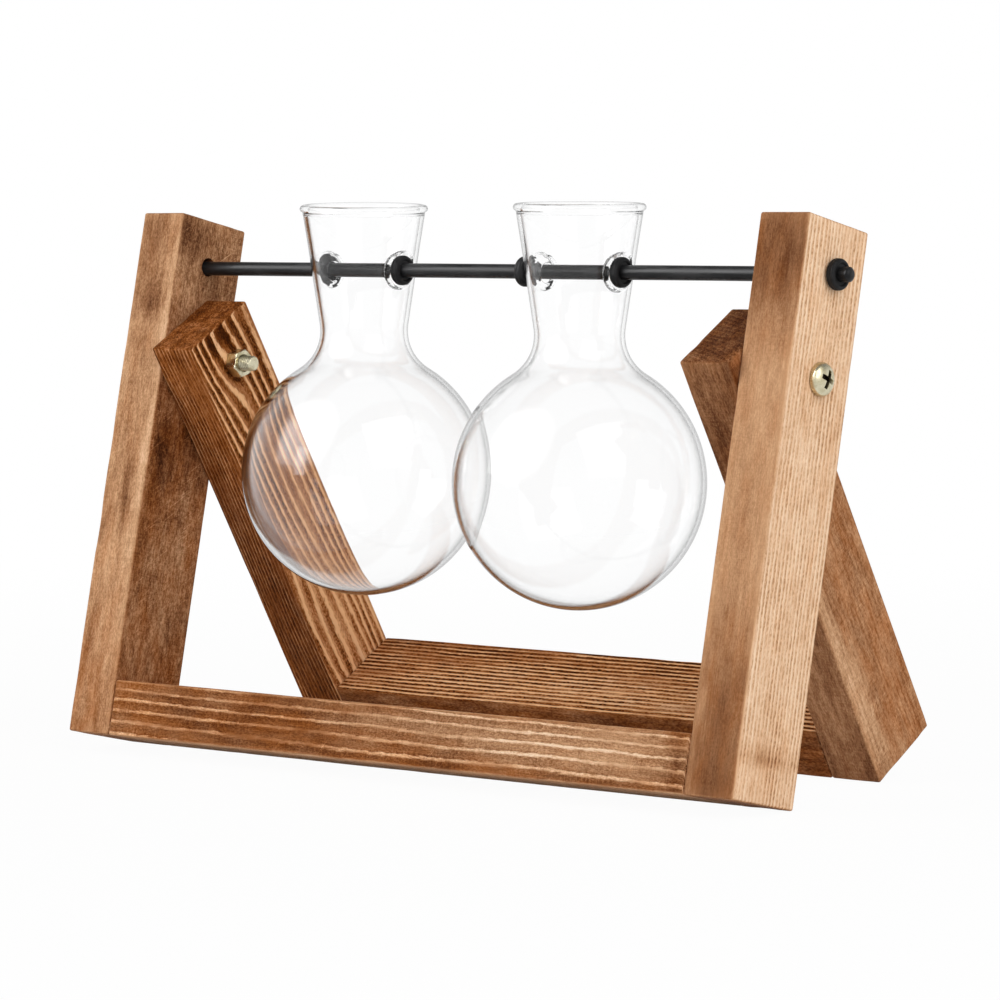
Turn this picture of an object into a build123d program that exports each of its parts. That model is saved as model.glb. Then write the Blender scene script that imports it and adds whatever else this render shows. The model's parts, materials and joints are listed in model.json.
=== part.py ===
"""Two hanging glass bulb vases on a folding wooden stand, in millimetres, +Z up."""
import os
from math import atan2, cos, degrees, hypot, radians, sin, sqrt, tan

from build123d import *

# Wood: every leg and bar is cut from the same strip
stock_thickness = 18.0
stock_width = 30.0
edge_ease = 0.6

# Front frame: tall legs leaning back, with a bar between their feet
stand_width = 269.0
tall_leg_length = 171.0
tall_lean = 12.2
rod_below_top = 15.5
pivot_below_tall_top = 46.5

# Rear frame: short legs leaning forward inside the tall ones, with a bar between their feet
feet_apart = 68.8
pivot_below_short_top = 14.5

# Hanging rod and the rubber rings on it
rod_diameter = 4.5
rod_past_ring = 3.5
rod_chamfer = 0.5
ring_diameter = 9.4
ring_thickness = 3.0
ring_round = 1.1
ring_face_gap = 0.3

# Glass vases: a bulb, a rounded shoulder and a neck that widens to a beaded rim
left_vase_x = -48.3
right_vase_x = 39.7
right_vase_slack = 5.0
bulb_radius = 39.0
bulb_below_rod = 64.2
throat_radius = 13.9
shoulder_radius = 13.9
neck_taper = 8.5
glass_wall = 1.2
rim_above_rod = 21.6
rim_bead_radius = 1.3
dimple_radius = 5.2
dimple_depth = 2.2
dimple_floor = 1.5
hole_diameter = 6.0
hole_drop = 0.45

# Pivot bolts and nuts
bolt_diameter = 5.0
bolt_head_diameter = 10.0
bolt_head_height = 3.4
bolt_head_round = 1.9
bolt_past_nut = 4.6
bolt_tip_chamfer = 0.6
recess_length = 5.4
recess_width = 1.5
recess_depth = 2.0
nut_across_flats = 8.0
nut_height = 4.0
nut_chamfer = 0.7

# Glued dowels between the bars and the legs
dowel_diameter = 6.0
dowel_in_leg = 10.0
dowel_in_bar = 16.0
dowel_chamfer = 0.8
dowel_place_share = 0.25

# Clearances
running_clearance = 0.1
thread_clearance = 0.02
dowel_clearance = 0.03
dowel_end_room = 1.0
cut_overrun = 5.0

# Derived places
half_width = stock_width / 2
tall_outer_x = stand_width / 2
tall_inner_x = tall_outer_x - stock_thickness
short_inner_x = tall_inner_x - stock_thickness
pivot_above_tall_foot = tall_leg_length - pivot_below_tall_top
rod_above_pivot = pivot_below_tall_top - rod_below_top

# The tall legs stand on their back lower edge
tall_angle = radians(tall_lean)
pivot_height = pivot_above_tall_foot * cos(tall_angle) + half_width * sin(tall_angle)
tall_edge_ahead = pivot_above_tall_foot * sin(tall_angle) - half_width * cos(tall_angle)

# The short legs stand on their front lower edge, as long as they need to be to reach the table there
short_edge_behind = feet_apart - tall_edge_ahead
short_reach = hypot(pivot_height, short_edge_behind)
pivot_above_short_foot = sqrt(short_reach ** 2 - half_width ** 2)
short_leg_length = pivot_above_short_foot + pivot_below_short_top
short_angle = atan2(half_width, pivot_above_short_foot) + atan2(short_edge_behind, pivot_height)
short_lean = degrees(short_angle)

# The origin is midway between the front and the back of the feet
front_of_pivot = half_width * cos(tall_angle) + pivot_above_tall_foot * sin(tall_angle)
back_of_pivot = half_width * cos(short_angle) + pivot_above_short_foot * sin(short_angle)
pivot_y = (front_of_pivot - back_of_pivot) / 2

tall_frame = Pos(0, pivot_y, pivot_height) * Rot(-tall_lean, 0, 0)
short_frame = Pos(0, pivot_y, pivot_height) * Rot(short_lean, 0, 0)
rod_y = pivot_y + rod_above_pivot * sin(tall_angle)
rod_z = pivot_height + rod_above_pivot * cos(tall_angle)
SIDES = {"left": -1, "right": 1}


def along_x(radius, start, end):
    """A round bar on the X axis between two X values."""
    low, high = min(start, end), max(start, end)
    return Pos((low + high) / 2, 0, 0) * Rot(0, 90, 0) * Cylinder(radius, high - low)


def eased(board, axis):
    """A board with its long edges slightly rounded."""
    return fillet(board.edges().filter_by(axis), edge_ease)


def dowel_spots(bar_height):
    """Centres of a joint's two dowels, in the frame of the leg."""
    offset = stock_width * dowel_place_share
    return [(v, bar_height) for v in (-offset, offset)]


def dowel_holes(start, end, bar_height):
    """Round holes for a joint's dowels, between two X values."""
    radius = dowel_diameter / 2 + dowel_clearance
    return [Pos(0, v, u) * along_x(radius, start, end) for v, u in dowel_spots(bar_height)]


def leg(side, inner_x, outer_x, foot, top, bar_height, holes):
    """One leg about the pivot, with cross holes and blind dowel holes on its inner face."""
    middle = (inner_x + outer_x) / 2
    body = eased(Box(stock_thickness, stock_width, top + foot), Axis.Z)
    body = Pos(side * middle, 0, (top - foot) / 2) * body
    for height, diameter in holes:
        radius = diameter / 2 + running_clearance
        start, end = side * (inner_x - cut_overrun), side * (outer_x + cut_overrun)
        body -= Pos(0, 0, height) * along_x(radius, start, end)
    depth = dowel_in_leg + dowel_end_room
    for hole in dowel_holes(side * (inner_x - cut_overrun), side * (inner_x + depth), bar_height):
        body -= hole
    return body


def crossbar(half_length, bar_height):
    """A bar between two legs, with blind dowel holes in both ends."""
    body = Pos(0, 0, bar_height) * eased(Box(2 * half_length, stock_width, stock_thickness), Axis.X)
    depth = dowel_in_bar + dowel_end_room
    for side in SIDES.values():
        start, end = side * (half_length - depth), side * (half_length + cut_overrun)
        for hole in dowel_holes(start, end, bar_height):
            body -= hole
    return body


def dowels(side, inner_x, bar_height):
    """The pair of dowels in one joint."""
    start, end = inner_x - dowel_in_bar, inner_x + dowel_in_leg
    pin = along_x(dowel_diameter / 2, side * start, side * end)
    pin = chamfer(pin.edges().filter_by(GeomType.CIRCLE), dowel_chamfer)
    return Compound(children=[Pos(0, v, u) * pin for v, u in dowel_spots(bar_height)])


def rod():
    """The hanging rod, long enough to pass the rings on both outer faces."""
    reach = tall_outer_x + ring_face_gap + ring_thickness + rod_past_ring
    body = along_x(rod_diameter / 2, -reach, reach)
    return chamfer(body.edges().filter_by(GeomType.CIRCLE), rod_chamfer)


def ring(start, side):
    """A rubber ring on the rod, from one X value outward."""
    body = along_x(ring_diameter / 2, start, start + side * ring_thickness)
    body = fillet(body.edges().filter_by(GeomType.CIRCLE), ring_round)
    end = start + side * (ring_thickness + cut_overrun)
    return body - along_x(rod_diameter / 2, start - side * cut_overrun, end)


def vase_points(inset):
    """Points of the vase's outline in radius and height above the rod, moved in by an inset."""
    taper = radians(neck_taper)
    bulb = bulb_radius - inset
    shoulder = shoulder_radius + inset
    shoulder_r = throat_radius + shoulder_radius
    rise = sqrt((bulb_radius + shoulder_radius) ** 2 - shoulder_r ** 2)
    shoulder_z = rise - bulb_below_rod
    lean = atan2(shoulder_r, rise)
    join = (bulb * sin(lean), bulb * cos(lean) - bulb_below_rod)
    bulb_middle = radians(180) - (radians(180) - lean) / 2
    side = (bulb * sin(bulb_middle), bulb * cos(bulb_middle) - bulb_below_rod)
    low = radians(90) - lean
    bend = (low - taper) / 2
    waist = (shoulder_r - shoulder * cos(bend), shoulder_z - shoulder * sin(bend))
    throat = (shoulder_r - shoulder * cos(taper), shoulder_z + shoulder * sin(taper))
    top = rim_above_rod - rim_bead_radius
    rim = (throat[0] + (top - throat[1]) * tan(taper), top)
    base = (0, -bulb - bulb_below_rod)
    return {"base": base, "side": side, "join": join, "waist": waist, "throat": throat, "rim": rim}


def vase_outline(points):
    """The edges of one skin of the vase, from the base up to the rim."""
    return [
        ThreePointArc(points["base"], points["side"], points["join"]),
        ThreePointArc(points["join"], points["waist"], points["throat"]),
        Line(points["throat"], points["rim"]),
    ]


def turned(edges):
    """A solid of revolution about Z from edges drawn in radius and height."""
    return revolve(Plane.XZ * make_face(edges), Axis.Z)


def vase(x):
    """One glass vase with a dimpled hole on each side of its neck, about the rod."""
    outer, inner = vase_points(0), vase_points(glass_wall)
    wall = turned(vase_outline(outer) + vase_outline(inner)
                  + [Line(outer["base"], inner["base"]), Line(outer["rim"], inner["rim"])])
    rim_axis = (0, outer["rim"][1])
    filled = turned(vase_outline(outer) + [Line(outer["rim"], rim_axis), Line(rim_axis, outer["base"])])
    bead_place = ((outer["rim"][0] + inner["rim"][0]) / 2, outer["rim"][1])
    body = wall + revolve(Plane.XZ * Pos(*bead_place) * Circle(rim_bead_radius), Axis.Z)
    seat = dimple_seat()
    far = bulb_radius
    for side in SIDES.values():
        cup = along_x(dimple_radius + glass_wall, side * (seat - dimple_floor), side * far)
        body += cup & filled
        body -= along_x(dimple_radius, side * seat, side * far)
        body -= Pos(0, 0, -hole_drop) * along_x(hole_diameter / 2, 0, side * far)
    return Pos(x, rod_y, rod_z) * body


def dimple_seat():
    """Distance from the vase's axis to the flat floor of a dimple in the neck."""
    outer = vase_points(0)
    neck_at_rod = outer["throat"][0] - outer["throat"][1] * tan(radians(neck_taper))
    return neck_at_rod - dimple_depth


def bolt(side):
    """A pan-head bolt with a cross recess, on the X axis, head on the outer face of the tall leg."""
    tip = short_inner_x - nut_height - bolt_past_nut
    shank = along_x(bolt_diameter / 2, side * tip, side * tall_outer_x)
    ends = shank.edges().filter_by(GeomType.CIRCLE).sort_by(Axis.X)
    shank = chamfer(ends[0] if side > 0 else ends[-1], bolt_tip_chamfer)
    crown = tall_outer_x + bolt_head_height
    head = along_x(bolt_head_diameter / 2, side * tall_outer_x, side * crown)
    rims = head.edges().filter_by(GeomType.CIRCLE).sort_by(Axis.X)
    head = fillet(rims[-1] if side > 0 else rims[0], bolt_head_round)
    slot_x = side * (crown - recess_depth / 2)
    upright = Pos(slot_x, 0, 0) * Box(recess_depth, recess_width, recess_length)
    level = Pos(slot_x, 0, 0) * Box(recess_depth, recess_length, recess_width)
    return shank + head - upright - level


def nut(side):
    """A hexagon nut on the X axis, against the inner face of the short leg."""
    start, end = short_inner_x - nut_height, short_inner_x
    corner = nut_across_flats / 2 / cos(radians(30))
    prism = extrude(RegularPolygon(nut_across_flats / 2, 6, major_radius=False), nut_height)
    prism = Pos(side * (start + end) / 2, 0, 0) * Rot(0, 90, 0) * Pos(0, 0, -nut_height / 2) * prism
    blank = along_x(corner, side * start, side * end)
    blank = chamfer(blank.edges().filter_by(GeomType.CIRCLE), nut_chamfer / 2, nut_chamfer)
    bore_radius = bolt_diameter / 2 + thread_clearance
    bore = along_x(bore_radius, side * (start - cut_overrun), side * (end + cut_overrun))
    return (prism & blank) - bore


def front_frame():
    """Tall legs, their bar and its dowels."""
    bar_height = stock_thickness / 2 - pivot_above_tall_foot
    holes = [(rod_above_pivot, rod_diameter), (0, bolt_diameter)]
    nodes = {"front_crossbar": crossbar(tall_inner_x, bar_height)}
    for name, side in SIDES.items():
        foot, top = pivot_above_tall_foot, pivot_below_tall_top
        nodes["tall_leg_" + name] = leg(side, tall_inner_x, tall_outer_x, foot, top, bar_height, holes)
        nodes["front_dowels_" + name] = dowels(side, tall_inner_x, bar_height)
    return {name: tall_frame * solid for name, solid in nodes.items()}


def rear_frame():
    """Short legs, their bar and its dowels."""
    bar_height = stock_thickness / 2 - pivot_above_short_foot
    holes = [(0, bolt_diameter)]
    nodes = {"rear_crossbar": crossbar(short_inner_x, bar_height)}
    for name, side in SIDES.items():
        foot, top = pivot_above_short_foot, pivot_below_short_top
        nodes["short_leg_" + name] = leg(side, short_inner_x, tall_inner_x, foot, top, bar_height, holes)
        nodes["rear_dowels_" + name] = dowels(side, short_inner_x, bar_height)
    return {name: short_frame * solid for name, solid in nodes.items()}


def pivots():
    """The bolt and nut that pin each pair of legs."""
    nodes = {}
    for name, side in SIDES.items():
        nodes["pivot_bolt_" + name] = tall_frame * bolt(side)
        nodes["pivot_nut_" + name] = tall_frame * nut(side)
    return nodes


def rod_and_rings():
    """The rod, the rings at its ends and the rings beside each neck."""
    seat = dimple_seat() + ring_face_gap
    nodes = {
        "hanging_rod": rod(),
        "left_vase_ring_outer": ring(left_vase_x - seat, -1),
        "left_vase_ring_inner": ring(left_vase_x + seat, 1),
        "right_vase_ring_inner": ring(right_vase_x - seat - right_vase_slack, -1),
        "right_vase_ring_outer": ring(right_vase_x + seat, 1),
    }
    for name, side in SIDES.items():
        nodes["rod_end_ring_" + name] = ring(side * (tall_outer_x + ring_face_gap), side)
    return {name: Pos(0, rod_y, rod_z) * solid for name, solid in nodes.items()}


def all_nodes():
    """Every node of the object by name."""
    vases = {"vase_left": vase(left_vase_x), "vase_right": vase(right_vase_x)}
    return {**front_frame(), **rear_frame(), **pivots(), **rod_and_rings(), **vases}


os.makedirs("parts", exist_ok=True)
for name, solid in all_nodes().items():
    export_step(solid, os.path.join("parts", name + ".step"))

print("pivot", round(pivot_y, 3), round(pivot_height, 3))
print("rod", round(rod_y, 3), round(rod_z, 3))
print("short legs", round(short_leg_length, 3), "long, leaning", round(short_lean, 3), "degrees")
print("dimple seat", round(dimple_seat(), 3))
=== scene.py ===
"""Looks of the propagation vase: two clear bulb vases hung on a folding stand of stained wood.

Everything is in metres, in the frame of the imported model.
"""
import json
import math

import bmesh
import bpy
import numpy as np
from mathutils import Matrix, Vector, noise


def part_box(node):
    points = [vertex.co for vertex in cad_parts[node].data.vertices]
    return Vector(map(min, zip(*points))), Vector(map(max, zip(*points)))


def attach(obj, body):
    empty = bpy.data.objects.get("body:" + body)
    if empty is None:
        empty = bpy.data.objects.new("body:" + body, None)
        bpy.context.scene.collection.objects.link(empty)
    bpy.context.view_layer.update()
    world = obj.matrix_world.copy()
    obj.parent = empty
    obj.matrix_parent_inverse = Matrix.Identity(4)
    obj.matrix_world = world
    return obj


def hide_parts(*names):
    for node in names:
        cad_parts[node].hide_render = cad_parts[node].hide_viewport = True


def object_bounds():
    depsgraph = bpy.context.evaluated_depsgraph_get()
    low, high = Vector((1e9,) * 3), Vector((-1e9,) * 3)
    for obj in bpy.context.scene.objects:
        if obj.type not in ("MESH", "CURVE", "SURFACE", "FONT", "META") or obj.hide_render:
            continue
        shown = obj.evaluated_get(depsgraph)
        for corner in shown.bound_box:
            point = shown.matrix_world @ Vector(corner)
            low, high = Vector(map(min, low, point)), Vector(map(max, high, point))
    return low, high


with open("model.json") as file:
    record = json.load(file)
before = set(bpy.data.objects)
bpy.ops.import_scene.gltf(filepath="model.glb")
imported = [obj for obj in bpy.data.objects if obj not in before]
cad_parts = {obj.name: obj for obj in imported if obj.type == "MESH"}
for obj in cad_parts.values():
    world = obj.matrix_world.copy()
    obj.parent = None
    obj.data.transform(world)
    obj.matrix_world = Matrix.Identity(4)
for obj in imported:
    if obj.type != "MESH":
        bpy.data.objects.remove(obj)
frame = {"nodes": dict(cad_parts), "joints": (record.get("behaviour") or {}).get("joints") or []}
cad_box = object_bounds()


def srgb(red, green, blue):
    """A colour written as screen values from 0 to 255, as linear RGBA."""
    shares = [level / 255 for level in (red, green, blue)]
    linear = [v / 12.92 if v <= 0.04045 else ((v + 0.055) / 1.055) ** 2.4 for v in shares]
    return (*linear, 1.0)


def grey(level):
    """A neutral colour at one linear level."""
    return (level, level, level, 1.0)


# Camera, fitted to the photograph
camera_place = Vector((0.89141, -1.06299, 0.17028))
camera_target = Vector((0.00654, -0.01262, 0.08429))
camera_lens = 159.75
camera_sensor = 36.0

# Light and stage. A fade is two limits of a value and the levels at them.
world_colour = (1.0, 0.99, 0.975, 1.0)
world_level = 0.38
ceiling_fade = (0.1, 0.7, 1.0, 0.3)
bright_wall_way = (-0.45, -0.89, 0.62)
bright_wall_fade = (0.83, 0.99, 0.0, 13.0)
floor_size = 40.0
floor_colour = grey(0.86)
floor_roughness = 0.9
floor_glow_fade = (0.15, 0.9, 0.96, 1.0)
# Each lamp: name, place, width, height, and how bright its face looks
lamps = [
    ("key_right", (1.35, -0.4, 0.95), 1.6, 1.4, 2.2),
    ("window_left", (-0.72, -1.75, 0.44), 0.38, 0.75, 6.4),
    ("wall_left", (-0.8, -1.1, 0.6), 0.8, 0.75, 2.6),
]

# Shapes of the boards
board_step = 0.00045
grain_step = 0.003
edge_round = 0.0008
edge_round_shares = (0.0, 0.25, 0.55, 1.0)
hole_window = 0.004
hole_line_step = 0.001
hole_rim = 0.0002
hole_rings = 4
rod_hole_radius = 0.0029
rod_hole_rise = 0.0004
bolt_hole_radius = 0.00255
relief_fade = 0.006
relief_phase = 0.17
unevenness = 0.00012
chip_reach = 0.0007
chip_start = 0.15
chip_depth = 0.0006

# Growth rings and stain of the boards. Each noise: its size along and across, and its seed.
board_noises = {
    "wave": (0.06, 0.012, 0.0),
    "ripple": (0.016, 0.005, 5.0),
    "mottle": (0.035, 0.01, 9.0),
    "patch": (0.014, 0.006, 13.0),
}
ripple_rings = 0.12
mottle_share = 0.7
patch_share = 0.5
spot_mottle = 0.25
spot_patch = 0.3
# painted shade: the walls of the rod and bolt holes are darkened
hole_wall_shade = 0.35
wear_reach = 0.0009
wear_level = 0.4
wear_patch = 0.9
ridge_per_line = 2.2
ridge_limits = (0.1, 1.0)
board_seed = 31.7
grain_scale = 100.0

# Wood in the shader
pale_stops = [(0.0, srgb(255, 224, 192)), (0.2, srgb(236, 194, 156)), (0.4, srgb(202, 155, 115)),
              (0.6, srgb(156, 110, 76)), (0.8, srgb(105, 65, 40)), (1.0, srgb(54, 28, 14))]
red_stops = [(0.0, srgb(252, 198, 146)), (0.2, srgb(224, 165, 114)), (0.4, srgb(188, 125, 80)),
             (0.6, srgb(150, 87, 40)), (0.8, srgb(104, 52, 13)), (1.0, srgb(56, 23, 2))]
ridge_stops = [(0.0, 0.55), (0.46, 0.58), (0.6, 0.05), (0.72, 0.0), (0.83, 0.8), (0.92, 0.72), (1.0, 0.55)]
stripe_stops = [(0.0, 0.5), (0.12, 0.9), (0.4, 0.95), (0.54, 0.45), (0.68, 0.05), (0.86, 0.1), (1.0, 0.5)]
# Each noise: how dense it is along and across the grain, its detail and its roughness
grain_noises = {
    "ragged": (3.0, 16.0, 3.0, 0.65),
    "fibre": (0.4, 11.0, 6.0, 0.62),
    "pores": (2.2, 40.0, 3.0, 0.6),
    "cloud": (0.45, 1.3, 4.0, 0.6),
    "blotch": (1.5, 4.2, 4.0, 0.62),
    "fleck": (9.0, 21.0, 3.0, 0.68),
    "sawn": (34.0, 1.6, 3.0, 0.7),
    "patchy": (0.3, 1.6, 3.0, 0.6),
    "scratch": (0.8, 26.0, 2.0, 0.5),
    "hue": (0.7, 2.2, 3.0, 0.55),
}
scratch_turn = math.radians(52)
fleck_limits = (0.36, 0.64)
scratch_limits = (0.62, 0.72)
patchy_lines = (0.36, 0.62, 0.4, 1.3)
flecked_lines = (0.0, 1.0, 0.5, 1.25)
cloudy_saw = (0.36, 0.62, 0.25, 1.4)
flecked_wear = (0.0, 1.0, 0.3, 1.2)
ring_raggedness = 0.55
fibre_tone = 0.24
pores_tone = 0.2
cloud_tone = 0.6
plain_cloud_tone = 0.1
blotch_tone = 0.3
fleck_tone = 0.5
scratch_tone = -0.42
wear_tone = -0.24
hue_spread = 1.2
fibre_height = 0.4
pores_height = 0.3
fleck_height = -0.2
sawn_height = 0.8
wood_bump = (0.00035, 0.8)
wood_roughness = (0.2, 0.8, 0.74, 0.56)
wood_shine = 0.03

# Shape of the glass
glass_columns = 128
bulb_rows = 86
shoulder_rows = 16
neck_rows = 10
bead_rows = 14
glass_wall = 0.0012
neck_taper = math.radians(8.5)
throat_radius = 0.0139
shoulder_radius = 0.0139
rim_bead = 0.0013
rim_low_way = (0.644, -0.765)
left_rim_tilt = math.radians(2.8)
right_rim_tilt = math.radians(1.7)
dimple_seat_in = 0.0022
dimple_floor = 0.0015
dimple_flat = 0.0046
dimple_edge = 0.0056
dimple_rings = 12
hole_radius = 0.003
hole_lip = 0.0007
hole_drop = 0.00045
lip_turns = [math.radians(t) for t in (30, 60, 90)]
window_height = 0.008
window_columns = 10
window_rows = 20
pole_merge = 0.00001

# Glass in the shader
edge_stops = [(0.3, 1.0), (0.55, 0.985), (0.68, 0.91), (0.76, 0.6), (0.83, 0.2), (0.9, 0.05), (1.0, 0.01)]
glass_bend = 1.37
glass_shine = grey(0.6)
glass_tint = (0.84, 0.86, 0.87, 1.0)
glass_density = 25.0
wobble_noise = ((55.0, 55.0, 30.0), 2.0, 0.4)
wobble_bump = (0.0002, 0.12)

# Shapes of the hardware
lathe_columns = 64
rod_rows = 40
rod_straight_end = 0.0016
rod_tip = [(0.0, 0.35), (0.00008, 0.6), (0.00028, 0.71556), (0.0008, 0.98667)]
rod_crease = 50
ring_round = 0.0011
ring_round_end = math.radians(84)
ring_round_steps = 8
ring_lip = 0.0002
ring_dish = 0.0006
ring_seam = 0.00006
ring_crease = 60
bolt_radius = 0.0025
bolt_crease = 32
shank_rows = 6
head_side = 0.0007
head_edge = 0.0002
dome_power = 0.85
dome_turns = [math.radians(t) for t in np.linspace(3, 90, 22)]
tip_chamfer = 0.0005
bolt_tip = [(0.00025, 0.91), (0.0, 0.8)]
thread_pitch = 0.0008
thread_depth = 0.00038
thread_samples = 8
# painted shade: how dark the thread grooves are painted, standing in for the shade in them
groove_shade = 0.85
recess_length = 0.006
recess_width = 0.0015
recess_depth = 0.0018
recess_draft_share = 0.72
recess_turn = math.radians(-24)
# painted shade: points sunk deeper than this below the dome count as inside the cross recess
recess_shade_depth = 0.0004
nut_columns = 72
nut_flats = 0.008
nut_sink = 0.0004
nut_face_share = 0.97
nut_cone = 0.6
nut_cone_steps = (0.2, 0.5, 0.8, 1.05)
nut_past_corner = 1.1
nut_crease = 25

# Hardware in the shader: colours, and noises with their stretch, detail and roughness
# zinc colours: bright, dull, rust, and a dark brown used as painted shade in the recess and thread grooves
zinc_colours = [srgb(214, 207, 180), srgb(186, 176, 142), srgb(124, 108, 74), srgb(38, 28, 18)]
zinc_haze_noise = ((420.0, 420.0, 420.0), 4.0, 0.6)
zinc_haze_limits = (0.35, 0.7)
zinc_scuff_noise = ((300.0, 2600.0, 2600.0), 3.0, 0.6)
zinc_scuff_fade = (0.55, 0.75, 0.0, 0.5)
zinc_bump = (0.00008, 0.35)
zinc_roughness = (0.3, 0.75, 0.22, 0.42)
steel_colours = [srgb(24, 24, 25), srgb(44, 44, 45)]
steel_roughness = (0.3, 0.7, 0.27, 0.42)
steel_grain = 1800.0
rubber_colours = [srgb(22, 22, 23), srgb(38, 38, 39)]
rubber_roughness = (0.3, 0.7, 0.48, 0.63)
rubber_grain = 3200.0
black_grain_detail = (3.0, 0.6)
black_rub_noise = ((60.0, 260.0, 260.0), 3.0, 0.55)
black_rub_limits = (0.4, 0.72)
black_bump = (0.00006, 0.4)
black_shine = 0.14
dowel_noise = ((60.0, 1500.0, 1500.0), 5.0, 0.6)
dowel_bump = (0.0001, 0.5)
dowel_stops = [(0.3, srgb(160, 122, 80)), (0.7, srgb(214, 178, 132))]
dowel_roughness = 0.7


def joint_place(name):
    """The point that a joint turns about."""
    return Vector(next(j["pos_m"] for j in frame["joints"] if j["name"] == name))


def points_of(node):
    """The vertices of a CAD node."""
    mesh = frame["nodes"][node].data
    flat = np.empty(len(mesh.vertices) * 3)
    mesh.vertices.foreach_get("co", flat)
    return flat.reshape(-1, 3)


def lean_of(leg):
    """Slope of a leg's depth axis, read from the two edges of its square-cut foot."""
    points = points_of(leg)
    low = points[points[:, 2].argmin()]
    ends = points[[points[:, 1].argmin(), points[:, 1].argmax()]]
    step = ends[ends[:, 2].argmin()] - low
    return math.atan2(step[2], step[1]) if step[1] > 0 else math.atan2(-step[2], -step[1])


class Nodes:
    """A tree of shader nodes, added by kind and linked by their sockets."""

    def __init__(self, tree):
        self.tree = tree

    def put(self, socket, value):
        """Sets a socket's value, or links it to another socket."""
        if isinstance(value, bpy.types.NodeSocket):
            self.tree.links.new(value, socket)
        else:
            socket.default_value = value

    def add(self, kind, sockets=(), **settings):
        """A new node with its settings, and values or links for its named inputs."""
        node = self.tree.nodes.new(kind)
        for key, value in settings.items():
            setattr(node, key, value)
        for key, value in dict(sockets).items():
            self.put(node.inputs[key], value)
        return node

    def attribute(self, name, output="Fac"):
        return self.add("ShaderNodeAttribute", attribute_name=name).outputs[output]

    def place(self):
        """Where a point is on its object."""
        return self.add("ShaderNodeTexCoord").outputs["Object"]

    def math(self, operation, first, second=0.0, third=0.0):
        sockets = {0: first, 1: second, 2: third}
        return self.add("ShaderNodeMath", sockets, operation=operation).outputs[0]

    def times(self, first, second, more=0.0):
        """A product, with more added to it."""
        return self.math("MULTIPLY_ADD", first, second, more)

    def noise(self, vector, stretch, detail, roughness):
        """Noise on a vector stretched along its axes."""
        scaled = self.add("ShaderNodeVectorMath", {0: vector, 1: stretch}, operation="MULTIPLY").outputs[0]
        sockets = {"Vector": scaled, "Scale": 1.0, "Detail": detail, "Roughness": roughness}
        return self.add("ShaderNodeTexNoise", sockets).outputs["Fac"]

    def span(self, value, low, high, start=0.0, end=1.0):
        """A smooth step of a value between two limits."""
        sockets = {"Value": value, "From Min": low, "From Max": high, "To Min": start, "To Max": end}
        return self.add("ShaderNodeMapRange", sockets, interpolation_type="SMOOTHSTEP").outputs[0]

    def ramp(self, value, stops):
        """Colours at places from 0 to 1."""
        node = self.add("ShaderNodeValToRGB", {"Fac": value})
        elements = node.color_ramp.elements
        while len(elements) < len(stops):
            elements.new(1.0)
        for element, (place, colour) in zip(elements, stops):
            element.position = place
            element.color = colour
        return node.outputs["Color"]

    def levels(self, value, stops):
        """Grey levels at places from 0 to 1."""
        return self.ramp(value, [(place, grey(level)) for place, level in stops])

    def mix(self, share, first, second):
        """One colour over another."""
        sockets = {0: share, 6: first, 7: second}
        return self.add("ShaderNodeMix", sockets, data_type="RGBA").outputs[2]

    def cover(self, share, first, second):
        """One shader over another."""
        return self.add("ShaderNodeMixShader", {0: share, 1: first, 2: second}).outputs[0]


class Graph(Nodes):
    """The nodes of one material, about its main shader."""

    def __init__(self, name):
        self.material = bpy.data.materials.new(name)
        self.material.use_nodes = True
        super().__init__(self.material.node_tree)
        self.shader = self.tree.nodes["Principled BSDF"]
        self.output = self.tree.nodes["Material Output"]

    def surface(self, **values):
        """Values or links for the main shader, with spaces in names written as underscores."""
        for key, value in values.items():
            self.put(self.shader.inputs[key.replace("_", " ")], value)

    def bump(self, height, depth, strength):
        sockets = {"Height": height, "Distance": depth, "Strength": strength}
        self.surface(Normal=self.add("ShaderNodeBump", sockets).outputs["Normal"])


def solid(name, points, faces, weld=None):
    """A closed mesh whose faces look outward."""
    mesh = bpy.data.meshes.new(name)
    mesh.from_pydata([tuple(p) for p in points], [], [tuple(f) for f in faces])
    shape = bmesh.new()
    shape.from_mesh(mesh)
    if weld:
        bmesh.ops.remove_doubles(shape, verts=shape.verts, dist=weld)
    bmesh.ops.recalc_face_normals(shape, faces=shape.faces)
    if shape.calc_volume(signed=True) < 0:
        bmesh.ops.reverse_faces(shape, faces=shape.faces)
    shape.to_mesh(mesh)
    shape.free()
    made = bpy.data.objects.new(name, mesh)
    bpy.context.scene.collection.objects.link(made)
    return made


def piece(name, node, body, points, faces, material, sharp=None, weld=None):
    """A mesh that stands for one CAD node and moves with its body, creased past an angle in degrees."""
    made = solid(name, points, faces, weld)
    mesh = made.data
    mesh.polygons.foreach_set("use_smooth", [True] * len(mesh.polygons))
    if sharp is not None:
        mesh.set_sharp_from_angle(angle=math.radians(sharp))
    mesh.materials.append(material)
    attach(made, body)
    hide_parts(node)
    return made


def write_field(made, name, values, kind="FLOAT", key="value"):
    """Stores a number or a vector for each vertex of a piece."""
    data = made.data.attributes.new(name, kind, "POINT").data
    data.foreach_set(key, values.astype(np.float32).ravel())


# Wood

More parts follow.
